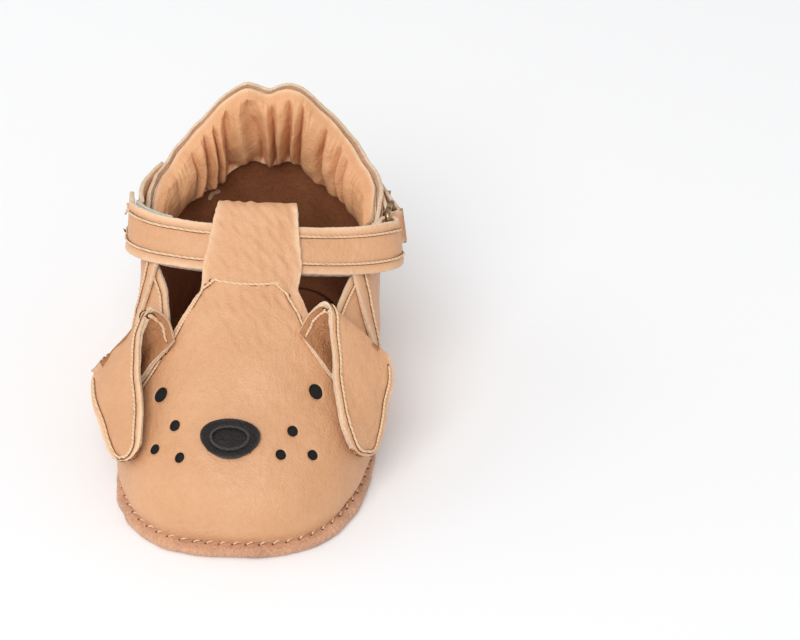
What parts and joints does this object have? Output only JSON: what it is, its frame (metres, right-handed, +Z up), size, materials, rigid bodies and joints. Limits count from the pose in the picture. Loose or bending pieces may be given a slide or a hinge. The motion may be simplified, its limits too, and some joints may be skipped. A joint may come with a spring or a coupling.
{
  "type": "baby bootie",
  "caption": "Soft leather baby bootie with a dog's face, folded-over ears, a T-bar and an ankle strap through a small brass ring.",
  "frame": {"origin": "on the underside of the outsole, midway between toe and heel, on the foot's centre line behind the ball", "axes": "-Y towards the toe, +Z up, +X towards the wearer's right"},
  "size_m": [0.0833, 0.1165, 0.0729],
  "materials": {
    "leather": "satin nappa",
    "band_leather": "satin nappa",
    "suede": "napped suede",
    "lining": "matt",
    "black_leather": "matt",
    "board": "matt",
    "foam": "matt",
    "thread": "matt",
    "elastic": "matt",
    "tape": "matt",
    "brass": "antique"
  },
  "bodies": {
    "bootie": {"outsole": "suede", "insole_board": "board", "footbed_foam": "foam", "sock_lining": "lining", "sole_seam_thread": "thread", "vamp": "leather", "vamp_lining": "lining", "face_backing": "black_leather", "nose": "black_leather", "quarter_left": "leather", "quarter_right": "leather", "quarter_lining_left": "lining", "quarter_lining_right": "lining", "heel_panel": "leather", "heel_lining": "lining", "heel_elastic": "elastic", "collar_band": "band_leather", "strap": "leather", "hook_tape": "tape", "ring_tab": "leather", "ear_left_root_outer": "leather", "ear_left_root_lining": "leather", "ear_right_root_outer": "leather", "ear_right_root_lining": "leather"},
    "strap_end": {"strap_free_end": "leather", "loop_tape": "tape"},
    "left_ear": {"ear_left_flap_outer": "leather", "ear_left_flap_lining": "leather"},
    "right_ear": {"ear_right_flap_outer": "leather", "ear_right_flap_lining": "leather"},
    "ring_body": {"ring": "brass"}
  },
  "joints": [
    {"name": "strap_peel", "type": "hinge", "parent": "bootie", "child": "strap_end", "pos_m": [-0.01545, 0.00485, 0.05363], "axis": [0.1381, 0.7155, 0.6848], "range_deg": [0, 110]},
    {"name": "ear_left_lift", "type": "hinge", "parent": "bootie", "child": "left_ear", "pos_m": [-0.02721, -0.00991, 0.04579], "axis": [-0.5028, -0.0278, -0.864], "range_deg": [0, 60], "stiffness_Nm_per_rad": 0.002},
    {"name": "ear_right_lift", "type": "hinge", "parent": "bootie", "child": "right_ear", "pos_m": [0.01986, -0.01039, 0.0497], "axis": [-0.637, -0.0464, 0.7695], "range_deg": [0, 60], "stiffness_Nm_per_rad": 0.002},
    {"name": "ring_swing", "type": "hinge", "parent": "bootie", "child": "ring_body", "pos_m": [0.03571, 0.0268, 0.04714], "axis": [-0.1179, 0.0455, 0.992], "range_deg": [-3, 3]}
  ]
}
